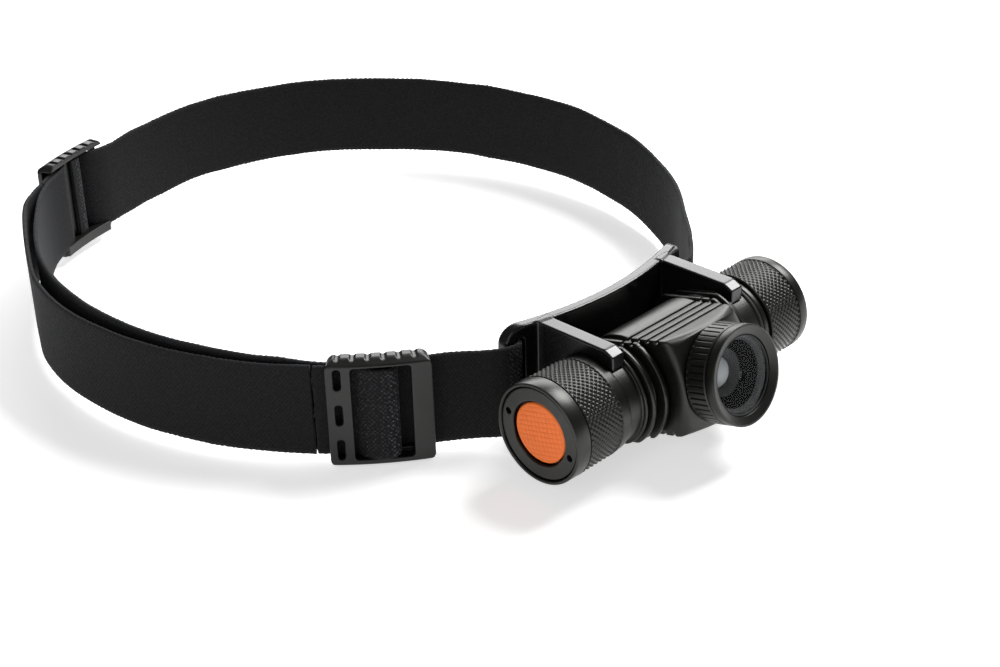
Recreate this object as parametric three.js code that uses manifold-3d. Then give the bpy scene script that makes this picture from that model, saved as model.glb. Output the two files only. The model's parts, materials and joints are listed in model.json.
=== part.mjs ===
// A right-angle headlamp: a tubular lamp with one cylindrical cell lies across the forehead in two
// snap clips of a curved bracket, and an elastic strap with two sliders holds the bracket on the head.
//
// Millimetres, +Z up. While it is built, the origin is the middle of the tube's axis: +X runs along the
// tube to the battery cap, -Y is the front, where the light comes out. At the end the whole group is
// moved so that the origin is the centre of the base of its bounding box.
import * as THREE from 'three';
import { mergeVertices } from 'three/addons/utils/BufferGeometryUtils.js';
import Module from 'manifold-3d';

const wasm = await Module();
wasm.setup();

// ---- driving dimensions ----
const SEGMENTS = 32;          // facets round a large turned piece
const SMALL_SEGMENTS = 24;    // facets round a small turned piece
const GAP = 0.3;              // clearance between assembled pieces

const TUBE_R = 13;            // outer radius of the tube and of both ends
const HALF_LENGTH = 44.8;     // tube centre to either end face
const LAMP_TILT = 14.67;      // degrees the lens points above the horizon
const SEAT_R = 11.95;         // necks that the bracket's clips grip
const SEAT_IN = 20.35;        // inner end of each neck along X
const SEAT_OUT = 25.5;        // outer end of the left neck
const GRIP_IN = 28.7;         // inner end of the left grip
const BORE_R = 9.6;           // battery bore
const CELL_R = 9.2;           // an 18650 cell in its sleeve
const CELL_LENGTH = 65;
const CELL_LEFT = -31.4;      // positive end of the cell

const BLOCK_HALF_X = 13;      // head block, half width along the tube
const BLOCK_HALF_Z = 12.5;    // half height
const BLOCK_FRONT = 19.1;     // distance of the block's front face from the tube axis
const CONE_R = 13.2;          // radius of the block's front cone at the front face
const CONE_SLOPE = 1.5;       // growth of that radius per mm towards the tube
const RIB_FIRST = 4.1;        // first cooling groove, in front of the tube axis
const RIB_PITCH = 2.9;
const RIB_COUNT = 4;
const RIB_WIDTH = 0.8;
const RIB_HALF_X = 16.9;      // each groove's half length along the tube
const RIB_DEPTH = 0.9;

const NECK_R = 11.5;          // sleeve that the focus ring turns on
const SOCKET_R = 10.8;        // bore that the lens barrel slides in
const SOCKET_FLOOR = 11.3;
const BARREL_R = 10.55;
const RING_IN_R = 11.65;
const RING_R = 12.45;
const RING_BACK = BLOCK_FRONT + 0.15;
const RING_FRONT = 25.2;
const RING_RIBS = 48;
const BEZEL_R = 12.5;
const BEZEL_BACK = 25.4;
const BEZEL_FRONT = 27.8;
const LENS_R = 9.9;
const WINDOW_R = 10.03;       // opening of the bezel

const LOOP_Y = 109.1;         // centre of the head loop behind the tube axis
const STRAP_R = 90.35;        // middle of the strap's inner layer
const LAYER_STEP = 1.65;      // radius from one strap layer to the next
const STRAP_T = 1.3;
const STRAP_W = 25;
const STRAP_Z = -1.7;         // middle height of the strap where it is lowest

const PLATE_R = 91.4;         // bracket plate, face towards the head
const PLATE_T = 3;
const PLATE_HALF_X = 33.3;
const BRACKET_TOP = 15.7;
const BASE_Z = -16.6;         // what the whole object rests on
const CLIP_R = 12.25;
const CLIP_IN = 20.75;        // inner face of each clip along X
const CLIP_OUT = 25.1;
const CLIP_FRONT = -6.1;      // front face of the clip tips
const CLIP_BEVEL = 2.6;       // bevel of the upper jaws
const LOWER_TAPER_Y = 0.3;    // the lower jaws thin out from here to their tips
const LOWER_TIP_Z = -11.2;
const SLOT_IN = 25.3;         // strap slots in the plate
const SLOT_OUT = 28.6;
const SLOT_LOW = -15;
const SLOT_HIGH = 13.2;

const SLIDER_R = 90.9;        // slider, innermost radius of its rails
const SLIDER_DEPTH = 4.7;
const SLIDER_BAR_R = 94;      // inner face of the side bars
const SLIDER_SLOTTED_END = -13.2;   // its ends, from the middle of its window
const SLIDER_PLAIN_END = 12.3;
const SLIDER_TOP = 13.4;
const SLIDER_BEVEL_R = 93.5;  // where the rails start to slope towards their outer edge
const SLIDER_BEVEL_DROP = 1.2;
const SLIDER_WINDOW_HALF_W = 7.2;
const SLIDER_WINDOW_LOW = -14.4;
const SLIDER_WINDOW_HIGH = 11.5;
const SLIDER_CORNER = 2.8;
const SLIDER_SLOT_X = -10.4;  // middle of the slotted bar's three slots
const SLIDER_SLOT_HALF_W = 0.85;
const SLIDER_SLOT_HALF_H = 2.75;
const SLIDER_SLOT_PITCH = 9.8;
const NOTCH_R = 0.9;          // finger grooves across the rails
const NOTCH_FIRST = -10.3;
const NOTCH_PITCH = 3.75;
const NOTCH_COUNT = 6;
const NOTCH_OUT = 0.4;        // how far each groove's axis lies outside the rail
const CENTRE_BAR_HALF_W = 2.1;
const FRONT_SLIDER_ANGLE = -129.8;
const REAR_SLIDER_ANGLE = -245;
const REAR_SLIDER_LIFT = 2.3; // the strap climbs towards the back of the head

// How far the strap stands above STRAP_Z round the head, as [degrees, mm].
const LIFTS = [[-80, 1.1], [-66, 0.8], [-50, -0.4], [-30, -0.5], [-14, 0.9], [3, 2.2], [40, 3.3], [61, 4.2],
  [83, 4.3], [97, 3], [105, REAR_SLIDER_LIFT], [150, REAR_SLIDER_LIFT], [180, 2.2], [200, 1.7], [213, 1.1],
  [222, 0.2], [243, 0.1], [252, 1.1], [280, 1.1]];
const FIRST_STATION = LIFTS[0][0];
// The same for the outer layer between the sliders.
const OVERLAP_LIFTS = [[120, REAR_SLIDER_LIFT], [130, 2.1], [145, 1.3], [160, 0.4], [170, 0.1], [230, 0.1]];

// The loose strap and its slider stand off the head's circle in a low swell on the rear left.
const SWELL = 3;
const SWELL_ANGLE = 124;
const SWELL_SPREAD = 12;

const rad = THREE.MathUtils.degToRad;

// ---- materials ----
const paint = (color, roughness, metalness) =>
  new THREE.MeshStandardMaterial({ color, roughness, metalness });
const anodised = () => paint(0x33343a, 0.45, 0.8);
const blackPlastic = () => paint(0x2b2b2d, 0.35, 0);
const rubber = () => paint(0x141414, 0.8, 0);
const webbing = () => paint(0x2a2a2d, 0.95, 0);
const board = () => paint(0x1e5a3a, 0.5, 0);
const brass = () => paint(0xc9a24a, 0.3, 1);
const steel = () => paint(0xb8b8ba, 0.3, 1);

// ---- geometry helpers ----

// One closed indexed mesh: shared vertices merged and collapsed triangles dropped.
function closed(geometry) {
  const g = geometry.clone();
  g.deleteAttribute('normal');
  g.deleteAttribute('uv');
  const merged = mergeVertices(g, 1e-4);
  const index = merged.index.array;
  const kept = [];
  for (let i = 0; i < index.length; i += 3) {
    const [a, b, c] = [index[i], index[i + 1], index[i + 2]];
    if (a !== b && b !== c && a !== c) kept.push(a, b, c);
  }
  merged.setIndex(kept);
  return merged;
}

function toSolid(geometry) {
  const g = closed(geometry);
  const vertProperties = new Float32Array(g.attributes.position.array);
  const triVerts = new Uint32Array(g.index.array);
  return new wasm.Manifold(new wasm.Mesh({ numProp: 3, vertProperties, triVerts }));
}

function toGeometry(solid) {
  const out = solid.getMesh();
  const g = new THREE.BufferGeometry();
  g.setAttribute('position', new THREE.BufferAttribute(new Float32Array(out.vertProperties), 3));
  g.setIndex(Array.from(out.triVerts));
  return g;
}

const join = (first, ...rest) => rest.reduce((sum, s) => sum.add(s), first);
const cut = (first, ...rest) => rest.reduce((left, s) => left.subtract(s), first);

// A turned body about Y. The profile is [radius, height] points, closed on itself or by the axis.
function turned(profile, segments) {
  let area = 0;
  profile.forEach(([r, h], i) => {
    const [r2, h2] = profile[(i + 1) % profile.length];
    area += r * h2 - r2 * h;
  });
  const ordered = area > 0 ? profile : [...profile].reverse();
  const points = ordered.map(([r, h]) => new THREE.Vector2(r, h));
  const endsOnAxis = points[0].x === 0 && points[points.length - 1].x === 0;
  if (!endsOnAxis) points.push(points[0].clone());
  return new THREE.LatheGeometry(points, segments);
}

// Turned about the tube: the profile is [x, radius] points.
function turnedX(profile, segments = SEGMENTS) {
  return turned(profile.map(([x, r]) => [r, x]), segments).rotateZ(-Math.PI / 2);
}

// Turned about the lens axis: the profile is [distance in front of the tube axis, radius] points.
function turnedLens(profile, segments = SEGMENTS) {
  return turned(profile.map(([d, r]) => [r, d]), segments).rotateX(Math.PI);
}

function boxBetween(x0, x1, y0, y1, z0, z1) {
  const g = new THREE.BoxGeometry(x1 - x0, y1 - y0, z1 - z0);
  return g.translate((x0 + x1) / 2, (y0 + y1) / 2, (z0 + z1) / 2);
}

// A ring or washer about the tube between x0 and x1.
const ringX = (x0, x1, inner, outer, segments) =>
  turnedX([[x0, inner], [x0, outer], [x1, outer], [x1, inner]], segments);

const discX = (x0, x1, radius, segments = SMALL_SEGMENTS) =>
  turnedX([[x0, 0], [x0, radius], [x1, radius], [x1, 0]], segments);

// An O-ring's profile, as [along, radius] points.
function ringSection(along, radius, half, points = 6) {
  const section = [];
  for (let i = 0; i < points; i++) {
    const a = (i / points) * 2 * Math.PI;
    section.push([along + half * Math.cos(a), radius + half * Math.sin(a)]);
  }
  return section;
}

// A ring sector in the XY plane about the loop's centre, as a flat bar from z0 to z1.
function sector(angle0, angle1, r0, r1, z0, z1, steps) {
  const shape = new THREE.Shape();
  shape.absarc(0, 0, r1, rad(angle0), rad(angle1), false);
  shape.absarc(0, 0, r0, rad(angle1), rad(angle0), true);
  shape.closePath();
  const g = new THREE.ExtrudeGeometry(shape, { depth: z1 - z0, bevelEnabled: false, curveSegments: steps });
  return g.translate(0, 0, z0);
}

// A rectangle in the XZ plane with rounded corners, as a block between y0 and y1.
function roundedBlock(x0, x1, z0, z1, corner, y0, y1) {
  const s = new THREE.Shape();
  s.moveTo(x0 + corner, z0);
  s.lineTo(x1 - corner, z0);
  s.absarc(x1 - corner, z0 + corner, corner, -Math.PI / 2, 0, false);
  s.lineTo(x1, z1 - corner);
  s.absarc(x1 - corner, z1 - corner, corner, 0, Math.PI / 2, false);
  s.lineTo(x0 + corner, z1);
  s.absarc(x0 + corner, z1 - corner, corner, Math.PI / 2, Math.PI, false);
  s.lineTo(x0, z0 + corner);
  s.absarc(x0 + corner, z0 + corner, corner, Math.PI, Math.PI * 1.5, false);
  const g = new THREE.ExtrudeGeometry(s, { depth: y1 - y0, bevelEnabled: false, curveSegments: 3 });
  return g.rotateX(Math.PI / 2).translate(0, y1, 0);
}

// An angle round the head, counted from the first station of the lifts.
const roundHead = (angle) => THREE.MathUtils.euclideanModulo(angle - FIRST_STATION, 360) + FIRST_STATION;

const swellAt = (angle) => SWELL * Math.exp(-(((roundHead(angle) - SWELL_ANGLE) / SWELL_SPREAD) ** 2));

function polar(angle, r) {
  const reach = r + swellAt(angle);
  return new THREE.Vector2(reach * Math.cos(rad(angle)), reach * Math.sin(rad(angle)));
}

// The lift at an angle round the head, eased between the stations of a table.
function liftAt(lifts, angle) {
  const last = lifts.length - 1;
  if (angle <= lifts[0][0]) return lifts[0][1];
  if (angle >= lifts[last][0]) return lifts[last][1];
  const i = lifts.findIndex(([station]) => station > angle);
  const [a0, h0] = lifts[i - 1];
  const [a1, h1] = lifts[i];
  return THREE.MathUtils.lerp(h0, h1, THREE.MathUtils.smoothstep(angle, a0, a1));
}

// A strap: a band of the strap's width and thickness that stands on a line of points in the plan and
// rises and falls with a table of lifts.
function ribbon(points, lifts = LIFTS) {
  const left = [];
  const right = [];
  points.forEach((p, i) => {
    const before = points[Math.max(i - 1, 0)];
    const after = points[Math.min(i + 1, points.length - 1)];
    const along = after.clone().sub(before).normalize();
    const side = new THREE.Vector2(-along.y, along.x).multiplyScalar(STRAP_T / 2);
    left.push(p.clone().add(side));
    right.unshift(p.clone().sub(side));
  });
  const outline = new THREE.Shape([...left, ...right]);
  const g = new THREE.ExtrudeGeometry(outline, { depth: STRAP_W, bevelEnabled: false });
  g.translate(0, 0, STRAP_Z - STRAP_W / 2);
  const corners = g.attributes.position;
  for (let i = 0; i < corners.count; i++) {
    const angle = THREE.MathUtils.radToDeg(Math.atan2(corners.getY(i), corners.getX(i)));
    corners.setZ(i, corners.getZ(i) + liftAt(lifts, roundHead(angle)));
  }
  return g;
}

// Points along a smooth curve through hand-placed [angle, radius] points.
function smooth(route, count) {
  const points = route.map(([angle, r]) => polar(angle, r));
  return new THREE.SplineCurve(points).getPoints(count);
}

function arc(angle0, angle1, r, step = 4) {
  const count = Math.ceil(Math.abs(angle1 - angle0) / step);
  return Array.from({ length: count + 1 }, (_, i) => polar(angle0 + ((angle1 - angle0) * i) / count, r));
}

// The same for points given as [mm along the loop from an angle, radius].
function alongLoop(route, angle, count) {
  return smooth(route.map(([s, r]) => [angle + THREE.MathUtils.radToDeg(s / r), r]), count);
}

// ---- the assembly's groups ----
const headlamp = new THREE.Group();
const lamp = new THREE.Group();          // everything that tilts in the bracket's clips
lamp.rotation.x = rad(-LAMP_TILT);
const loop = new THREE.Group();          // strap and sliders, about the head's centre
loop.position.y = LOOP_Y;
headlamp.add(lamp, loop);

function place(parent, name, geometry, material) {
  const mesh = new THREE.Mesh(closed(geometry), material);
  mesh.name = name;
  parent.add(mesh);
  return mesh;
}

// ---- body tube: grip, necks, cooling fins, head block and lens socket in one machined piece ----
function bodyTube() {
  const fin = [[-20.35, 13.1], [-19.1, 13.1], [-19.1, 14.1], [-17.95, 14.1], [-17.95, 11.9],
    [-15.75, 11.9], [-15.75, 15.1], [-14.45, 15.1], [-14.45, 12.1], [-12.9, 12.1]];
  const outside = [
    [-HALF_LENGTH, 0], [-HALF_LENGTH, 12.7], [-44.5, TUBE_R], [-GRIP_IN, TUBE_R], [-25.8, 12.75],
    [-SEAT_OUT, SEAT_R], [-SEAT_IN, SEAT_R], ...fin, [-12.9, TUBE_R],
    [12.9, TUBE_R], ...fin.map(([x, r]) => [-x, r]).reverse(), [SEAT_IN, SEAT_R],
    [26.5, SEAT_R], [26.5, 11.1], [27.7, 11.1], [27.7, 12.3], [29.3, 12.3], [29.3, 11.6],
    [37.5, 11.6], [37.5, 0],
  ];
  const tube = toSolid(turnedX(outside));
  const level = toSolid(boxBetween(-21, 21, -30, 30, -BLOCK_HALF_Z, BLOCK_HALF_Z));
  const round = toSolid(turnedX([[-50, 0], [-50, TUBE_R], [50, TUBE_R], [50, 0]]));
  const finnedTube = tube.intersect(join(level, round));
  const reach = BLOCK_FRONT;
  const cone = toSolid(turnedLens([[0, 0], [0, CONE_R + CONE_SLOPE * reach], [reach, CONE_R], [reach, 0]]));
  const box = toSolid(boxBetween(-BLOCK_HALF_X, BLOCK_HALF_X, -reach, 0, -BLOCK_HALF_Z, BLOCK_HALF_Z));
  const neck = toSolid(turnedLens([[5, 0], [5, NECK_R], [24.9, NECK_R], [24.9, 0]]));
  const grooves = [];
  for (let i = 0; i < RIB_COUNT; i++) {
    const y = -(RIB_FIRST + RIB_PITCH * i);
    for (const side of [-1, 1]) {
      const z = side * BLOCK_HALF_Z;
      grooves.push(toSolid(boxBetween(-RIB_HALF_X, RIB_HALF_X, y - RIB_WIDTH / 2, y + RIB_WIDTH / 2,
        z - RIB_DEPTH, z + RIB_DEPTH)));
    }
  }
  const pinSlots = [0, 120, 240].map((angle) =>
    toSolid(boxBetween(-0.7, 0.7, -26, -19.6, 10, 12).rotateY(rad(angle))));
  const bores = [
    turnedX([[-33, 0], [-33, BORE_R], [40, BORE_R], [40, 0]]),
    turnedX([[-50, 0], [-50, 12.05], [-42.4, 12.05], [-42.4, 11.1], [-34.4, 11.1], [-34.4, BORE_R],
      [-30, BORE_R], [-30, 0]]),
    turnedLens([[SOCKET_FLOOR, 0], [SOCKET_FLOOR, SOCKET_R], [30, SOCKET_R], [30, 0]]),
    boxBetween(-35, 2, -12, -8, -1.4, 1.4),
  ].map(toSolid);
  const outer = join(finnedTube, box.intersect(cone), neck);
  return toGeometry(cut(outer, ...grooves, ...pinSlots, ...bores));
}
place(lamp, 'body_tube', bodyTube(), anodised());

// ---- switch end ----
function switchRing() {
  const ring = toSolid(ringX(-44.45, -42.7, 8.3, 11.85));
  const holes = [29.7, 209.7].map((angle) => {
    const hole = discX(-46, -43.2, 0.85, 12).translate(0, 10.1, 0);
    return toSolid(hole.rotateX(rad(angle)));
  });
  return toGeometry(cut(ring, ...holes));
}
place(lamp, 'switch_retaining_ring', switchRing(), anodised());
place(lamp, 'boot_flange', ringX(-42.45, -41.9, 8.2, 10.8), rubber());
place(lamp, 'switch_housing', ringX(-41.65, -39.4, 9.2, 10.8), blackPlastic());

function tactSwitch() {
  const body = toSolid(boxBetween(-41.7, -39.4, -3, 3, -3, 3));
  return toGeometry(cut(body, toSolid(discX(-45, -39.7, 1.95, 16))));
}
place(lamp, 'tact_switch', tactSwitch(), blackPlastic());
place(lamp, 'switch_board', discX(-39.15, -38.15, 10.6), board());
place(lamp, 'board_spacer', ringX(-37.95, -36.25, 8.6, 10.6, SMALL_SEGMENTS), blackPlastic());
place(lamp, 'driver_board', discX(-36.05, -35.1, 10.6), board());
place(lamp, 'plus_contact', discX(-34.9, -32.75, 2.8, 16), brass());

// The button: a shallow rubber dome, and the switch plunger behind it.
const buttonDome = [[-43, 0], [-43, 7.8], [-43.85, 7.8], [-44.05, 7.4], [-44.2, 5], [-44.28, 2.4],
  [-44.3, 0]];
place(lamp, 'button_cap', turnedX(buttonDome), paint(0xef6d28, 0.6, 0));
place(lamp, 'switch_plunger', discX(-42.8, -41.3, 1.7, 16), paint(0xc8c8c0, 0.5, 0));

// ---- cell, battery cap and its sprung contact ----
const cellRight = CELL_LEFT + CELL_LENGTH;
const cellProfile = [[CELL_LEFT - 0.9, 0], [CELL_LEFT - 0.9, 3.2], [CELL_LEFT, 3.2], [CELL_LEFT, CELL_R],
  [cellRight, CELL_R], [cellRight, 0]];
place(lamp, 'battery_cell', turnedX(cellProfile, SMALL_SEGMENTS + 8), paint(0x2f5d9e, 0.35, 0));
place(lamp, 'tube_o_ring', turnedX(ringSection(27.1, 11.75, 0.52), SMALL_SEGMENTS), rubber());

const capProfile = [[29.75, 11.95], [29.75, 12.75], [30, TUBE_R], [44.5, TUBE_R], [HALF_LENGTH, 12.7],
  [HALF_LENGTH, 0], [42.8, 0], [42.8, 10.5], [38.2, 10.5], [38.2, 11.95]];
place(lamp, 'battery_cap', turnedX(capProfile), anodised());
place(lamp, 'contact_board', discX(41.6, 42.6, 10.2), board());

const SPRING_START = 33.9;
const SPRING_END = 41.1;
const SPRING_TURNS = 4;
class SpringLine extends THREE.Curve {
  getPoint(t) {
    const a = t * SPRING_TURNS * 2 * Math.PI;
    const r = 3.2 + 2.4 * t;
    const x = SPRING_START + (SPRING_END - SPRING_START) * t;
    return new THREE.Vector3(x, r * Math.cos(a), r * Math.sin(a));
  }
}
const wireSection = new THREE.Shape(new THREE.Path().absarc(0, 0, 0.4, 0, 2 * Math.PI).getPoints(3).slice(1));
const springShape = { steps: SPRING_TURNS * 16, extrudePath: new SpringLine(), bevelEnabled: false };
place(lamp, 'contact_spring', new THREE.ExtrudeGeometry(wireSection, springShape), steel());

// ---- light source in the floor of the socket ----
const starBack = SOCKET_FLOOR + GAP;
const starFront = starBack + 1.5;
place(lamp, 'led_star', turnedLens([[starBack, 0], [starBack, 8], [starFront, 8], [starFront, 0]],
  SMALL_SEGMENTS), paint(0xd8d8d8, 0.5, 0.6));

function ledEmitter() {
  const base = starFront + 0.2;
  const package_ = toSolid(boxBetween(-1.75, 1.75, -(base + 0.7), -base, -1.75, 1.75));
  const dome = turnedLens([[base + 0.3, 0], [base + 0.3, 1.5], [base + 1, 1.4], [base + 1.6, 0.8],
    [base + 1.75, 0]], 16);
  return toGeometry(join(package_, toSolid(dome)));
}
place(lamp, 'led_emitter', ledEmitter(), paint(0xe8d45a, 0.3, 0));

const screwBase = starFront + 0.15;
const screwProfile = [[screwBase, 0], [screwBase, 1.4], [screwBase + 1, 1.2], [screwBase + 1, 0]];
for (const [name, x] of [['led_screw_left', -5.6], ['led_screw_right', 5.6]]) {
  place(lamp, name, turnedLens(screwProfile, 12).translate(x, 0, 0), steel());
}
for (const [name, z, color] of [['led_lead_plus', 0.65, 0x8a1f1a], ['led_lead_minus', -0.65, 0x1c1c1c]]) {
  place(lamp, name, discX(-33.8, 1.6, 0.45, 8).translate(0, -10.5, z), paint(color, 0.6, 0));
}

// ---- focusing head: the ribbed ring turns, and the barrel with the lens slides ----
function focusRing() {
  const outline = new THREE.Shape();
  const pitch = (2 * Math.PI) / RING_RIBS;
  const valley = RING_R - 0.45;
  for (let i = 0; i < RING_RIBS; i++) {
    const start = i * pitch;
    const corners = [[0, RING_R], [0.78, RING_R], [0.86, valley], [0.92, valley]];
    for (const [share, r] of corners) {
      const a = start + share * pitch;
      const [x, y] = [r * Math.cos(a), r * Math.sin(a)];
      if (i === 0 && share === 0) outline.moveTo(x, y);
      else outline.lineTo(x, y);
    }
  }
  outline.closePath();
  const hole = new THREE.Path();
  hole.absarc(0, 0, RING_IN_R, 0, 2 * Math.PI);
  outline.holes.push(hole);
  const shape = { depth: RING_FRONT - RING_BACK, bevelEnabled: false, curveSegments: SEGMENTS };
  return new THREE.ExtrudeGeometry(outline, shape).rotateX(Math.PI / 2).translate(0, -RING_BACK, 0);
}
place(lamp, 'focus_ring', focusRing(), anodised());

const barrelProfile = [
  [15, 9.5], [15, BARREL_R], [16.1, BARREL_R], [16.1, 10], [16.9, 10], [16.9, BARREL_R],
  [BEZEL_BACK, BARREL_R], [BEZEL_BACK, BEZEL_R - 0.2], [BEZEL_BACK + 0.2, BEZEL_R],
  [BEZEL_FRONT - 0.25, BEZEL_R], [BEZEL_FRONT, BEZEL_R - 0.25], [26.95, WINDOW_R], [24.9, WINDOW_R],
  [24.9, 9.5],
];
place(lamp, 'lens_barrel', turnedLens(barrelProfile), anodised());

const lensProfile = [[18.6, 0], [18.6, 2.2], [15.6, 2.5], [15.6, 3.6], [17.6, 5.1], [20, 6.7], [22.4, 8],
  [24.7, 8.9], [25.1, 9.1], [25.1, LENS_R], [26, LENS_R], [26, 4.6], [25.2, 4.3], [25.5, 2.2], [25.7, 0]];
place(lamp, 'lens', turnedLens(lensProfile), paint(0xdfe8ea, 0.05, 0));
place(lamp, 'lens_seal', turnedLens(ringSection(26.45, 9.7, 0.26), SMALL_SEGMENTS), rubber());
place(lamp, 'barrel_o_ring', turnedLens(ringSection(16.5, 10.4, 0.26), SMALL_SEGMENTS), rubber());

for (const [i, angle] of [0, 120, 240].entries()) {
  const pin = new THREE.CylinderGeometry(0.5, 0.5, 0.75, 10).rotateX(Math.PI / 2);
  place(lamp, `guide_pin_${i + 1}`, pin.translate(0, -20.4, 11.05).rotateY(rad(angle)), steel());
}

// ---- bracket: curved plate with two strap slots and two snap clips ----
function bracketSolid() {
  const half = 22;
  const plate = toSolid(sector(-90 - half, -90 + half, PLATE_R, PLATE_R + PLATE_T, BASE_Z, BRACKET_TOP, 16)
    .translate(0, LOOP_Y, 0));
  const face = toSolid(roundedBlock(-PLATE_HALF_X, PLATE_HALF_X, BASE_Z, BRACKET_TOP, 5, 5, 35));
  const side = new THREE.Shape();
  side.moveTo(19.3, BASE_Z);
  side.lineTo(19.3, BRACKET_TOP);
  side.lineTo(CLIP_FRONT + CLIP_BEVEL, BRACKET_TOP);
  side.lineTo(CLIP_FRONT, BRACKET_TOP - CLIP_BEVEL / 2);
  side.lineTo(CLIP_FRONT, LOWER_TIP_Z);
  side.lineTo(LOWER_TAPER_Y, BASE_Z);
  side.closePath();
  const clips = [CLIP_IN, -CLIP_OUT].map((x) => {
    const g = new THREE.ExtrudeGeometry(side, { depth: CLIP_OUT - CLIP_IN, bevelEnabled: false });
    // The outline's own X becomes Y, its Y becomes Z, and it runs along X from x.
    return toSolid(g.rotateX(Math.PI / 2).rotateZ(Math.PI / 2).translate(x, 0, 0));
  });
  const tubeRoom = toSolid(turnedX([[-50, 0], [-50, CLIP_R], [50, CLIP_R], [50, 0]], 40));
  const slots = [SLOT_IN, -SLOT_OUT].map((x) =>
    toSolid(roundedBlock(x, x + SLOT_OUT - SLOT_IN, SLOT_LOW, SLOT_HIGH, 1, 5, 35)));
  return toGeometry(cut(join(plate.intersect(face), ...clips), tubeRoom, ...slots));
}
place(headlamp, 'bracket', bracketSolid(), blackPlastic());

// ---- strap ----
const SECOND_R = STRAP_R + LAYER_STEP;

// From the short sewn tail behind the bracket's end post, out through its slot and round the post to
// the single layer. On the left the strap hugs the post, on the right it stands off it in a loose bight.
const slotRoute = [[-111.2, STRAP_R], [-110, STRAP_R], [-108.7, STRAP_R], [-107.4, 90.75], [-106.85, 91.7],
  [-106.8, 92.9], [-106.85, 94.1]];
const leftPost = [...slotRoute, [-107.35, 95.1], [-108.6, 95.5], [-110.7, 95.4], [-112.4, 94.4],
  [-114.2, 92.9], [-116.2, 91.6], [-118.5, 90.8], [-121, 90.45], [-123, STRAP_R]];
const rightPost = [...slotRoute.map(([angle, r]) => [-180 - angle, r]), [-73, 95.4], [-72.3, 96.6],
  [-71.2, 97.3], [-69.8, 97.4], [-67.5, 96.5], [-65.4, 95.6], [-62.5, 94.3], [-59.7, 93.3], [-55, 91.75],
  [-51, 90.8], [-47, 90.4], [-44, STRAP_R]];

// The front strap's end is sewn round the rear slider's centre bar. Distances are in mm along the
// loop from the bar, negative on the side of the slotted bar.
const frontEndRoute = [[16, STRAP_R], [12, STRAP_R], [9, 90.5], [6.2, 90.9], [4.3, 91.9], [3.5, 93.3],
  [2.4, 94.8], [0, 95.1], [-2.4, 94.8], [-3.4, 93.7], [-3, 92.5], [-1.8, 91.95], [1, 91.85]];
const frontStrap = [...smooth(leftPost, 44), ...arc(-126, -232, STRAP_R),
  ...alongLoop(frontEndRoute, REAR_SLIDER_ANGLE, 36)];
place(loop, 'strap_front', ribbon(frontStrap), webbing());

// The rear strap passes under the rear slider's side bars and over the sewn end on its centre bar.
const passRoute = [[-15.3, STRAP_R], [-12, 90.5], [-9, 91.2], [-6.8, 92.4], [-5.6, 94], [-4.4, 95.6],
  [-2.4, 96.5], [0, 96.7], [2.4, 96.5], [4.4, 95.6], [5.6, 94], [7, 92.7], [9, 92.2], [12, 92.05],
  [16.8, SECOND_R]];
const rearStrap = [...smooth(rightPost, 50), ...arc(-41, 103, STRAP_R),
  ...alongLoop(passRoute, REAR_SLIDER_ANGLE + 360, 38)];
place(loop, 'strap_rear', ribbon(rearStrap), webbing());

// The doubled stretch between the sliders stands off the inner layer on the left of the head.
const overlapRoute = [[-234.3, 92.1], [-231, 93.2], [-226, 94.1], [-218, 93.5], [-207, 93.1], [-198, 94],
  [-188, 93.9], [-178, 93.3], [-168, 92.9], [-157, 92.4], [-148, 92.1], [-140.3, SECOND_R]];
place(loop, 'strap_overlap', ribbon(smooth(overlapRoute, 26), OVERLAP_LIFTS), webbing());

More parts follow.
